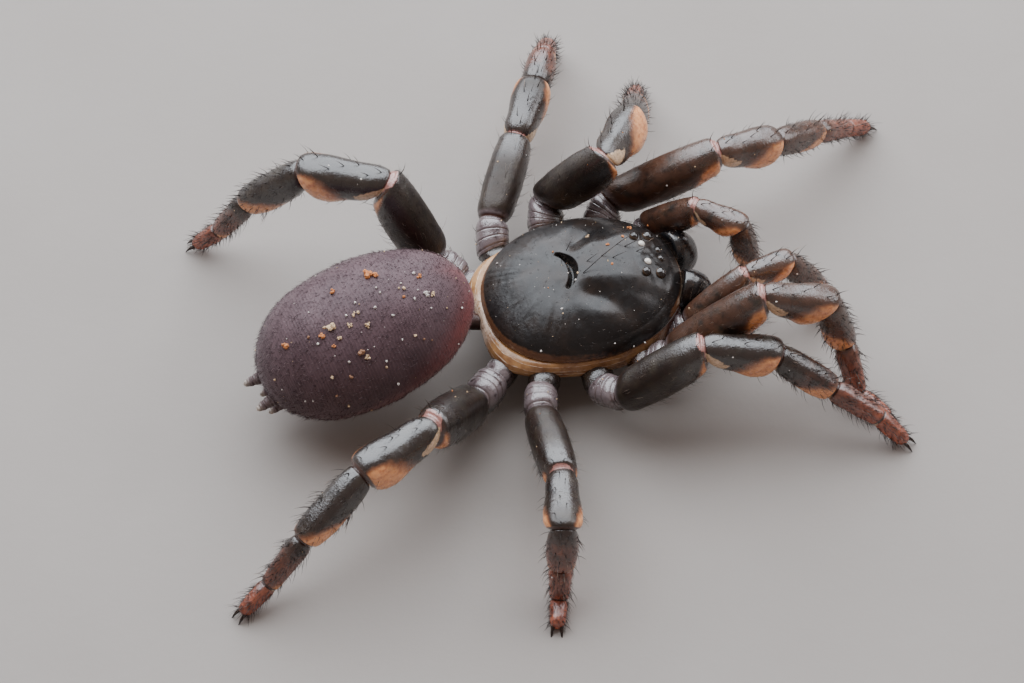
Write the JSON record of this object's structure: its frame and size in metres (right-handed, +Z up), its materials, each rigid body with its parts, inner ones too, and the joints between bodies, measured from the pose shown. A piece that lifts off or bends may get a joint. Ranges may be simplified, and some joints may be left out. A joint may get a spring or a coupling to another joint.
{
  "type": "trapdoor spider",
  "caption": "Life-size still model of a black tree trapdoor spider with a velvety purple-grey abdomen, standing on its feet.",
  "frame": {"origin": "on the floor, under the middle of the model's bounding box", "axes": "+X towards the head, +Y the spider's left, +Z up"},
  "size_m": [0.0204, 0.0191, 0.0051],
  "materials": {
    "black_shell": "glossy black cuticle with a satin sheen",
    "joint_skin": "banded greyish-pink cuticle, semi-gloss",
    "reddish_foot": "reddish bristly cuticle, satin",
    "velvet_abdomen": "dark purple-grey skin with short velvety hairs",
    "eye": "wet-looking clear lens over black"
  },
  "bodies": {
    "root": {"abdomen": "velvet_abdomen", "carapace": "black_shell", "chelicera_left": "black_shell", "chelicera_right": "black_shell", "eye_front_middle_left": "eye", "eye_front_middle_right": "eye", "eye_front_side_left": "eye", "eye_front_side_right": "eye", "eye_rear_middle_left": "eye", "eye_rear_middle_right": "eye", "eye_rear_side_left": "eye", "eye_rear_side_right": "eye", "fang_left": "black_shell", "fang_right": "black_shell", "labium": "joint_skin", "leg_1_left_coxa": "joint_skin", "leg_1_left_femur": "black_shell", "leg_1_left_foot": "reddish_foot", "leg_1_left_patella_tibia": "black_shell", "leg_1_right_coxa": "joint_skin", "leg_1_right_femur": "black_shell", "leg_1_right_foot": "reddish_foot", "leg_1_right_patella_tibia": "black_shell", "leg_2_left_coxa": "joint_skin", "leg_2_left_femur": "black_shell", "leg_2_left_foot": "reddish_foot", "leg_2_left_patella_tibia": "black_shell", "leg_2_right_coxa": "joint_skin", "leg_2_right_femur": "black_shell", "leg_2_right_foot": "reddish_foot", "leg_2_right_patella_tibia": "black_shell", "leg_3_left_coxa": "joint_skin", "leg_3_left_femur": "black_shell", "leg_3_left_foot": "reddish_foot", "leg_3_left_patella_tibia": "black_shell", "leg_3_right_coxa": "joint_skin", "leg_3_right_femur": "black_shell", "leg_3_right_foot": "reddish_foot", "leg_3_right_patella_tibia": "black_shell", "leg_4_left_coxa": "joint_skin", "leg_4_left_femur": "black_shell", "leg_4_left_foot": "reddish_foot", "leg_4_left_patella_tibia": "black_shell", "leg_4_right_coxa": "joint_skin", "leg_4_right_femur": "black_shell", "leg_4_right_foot": "reddish_foot", "leg_4_right_patella_tibia": "black_shell", "palp_left_coxa": "joint_skin", "palp_left_femur": "black_shell", "palp_left_tip": "reddish_foot", "palp_right_coxa": "joint_skin", "palp_right_femur": "black_shell", "palp_right_tip": "reddish_foot", "pedicel": "joint_skin", "spinneret_inner_left": "joint_skin", "spinneret_inner_right": "joint_skin", "spinneret_outer_left": "joint_skin", "spinneret_outer_right": "joint_skin", "sternum": "joint_skin"}
  },
  "joints": []
}
